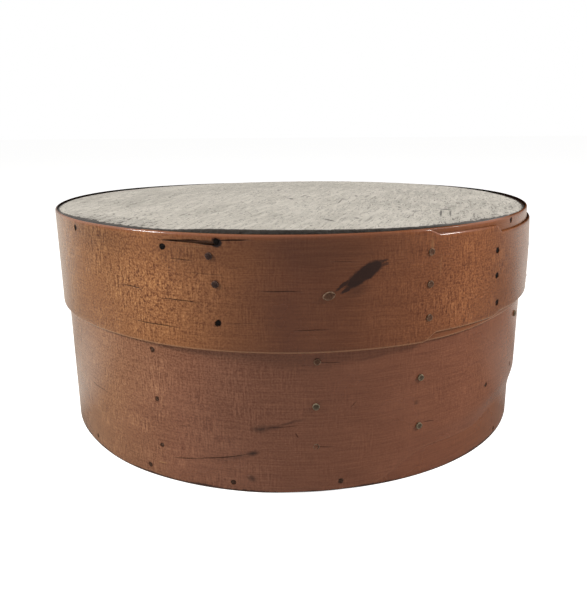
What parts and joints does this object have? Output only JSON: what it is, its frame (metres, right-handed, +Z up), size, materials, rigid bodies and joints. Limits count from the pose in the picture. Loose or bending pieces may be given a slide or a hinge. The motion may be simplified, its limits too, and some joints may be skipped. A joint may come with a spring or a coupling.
{
  "type": "bentwood pantry box",
  "caption": "Round box of bent wood with a lift-off lid: two lapped and tacked hoops, each closed by a nailed round board, for dry stores.",
  "frame": {"origin": "centre of the base, on the box's axis, where the box stands", "axes": "+Z up, -Y toward the front where both laps start, +X to the right"},
  "size_m": [0.2553, 0.2553, 0.1143],
  "materials": {
    "bent_wood": "aged varnish, satin, worn at the edges",
    "board_wood": "bare weathered board, matt",
    "iron": "tarnished hand-driven iron"
  },
  "bodies": {
    "box": {"body_band": "bent_wood", "bottom_board": "board_wood", "bottom_nails": "iron", "body_lap_tacks_1": "iron", "body_lap_tacks_2": "iron", "body_lap_tacks_3": "iron", "body_lap_tacks_4": "iron", "body_lap_tacks_5": "iron", "body_lap_tacks_6": "iron"},
    "lid": {"lid_band": "bent_wood", "lid_board": "board_wood", "lid_board_nails": "iron", "lid_clout": "iron", "lid_lap_tacks_1": "iron", "lid_lap_tacks_2": "iron", "lid_lap_tacks_3": "iron", "lid_lap_tacks_4": "iron", "lid_lap_tacks_5": "iron"}
  },
  "joints": [
    {"name": "lid_lift", "type": "slide", "parent": "box", "child": "lid", "axis": [0, 0, 1], "range_m": [0, 0.1]}
  ]
}
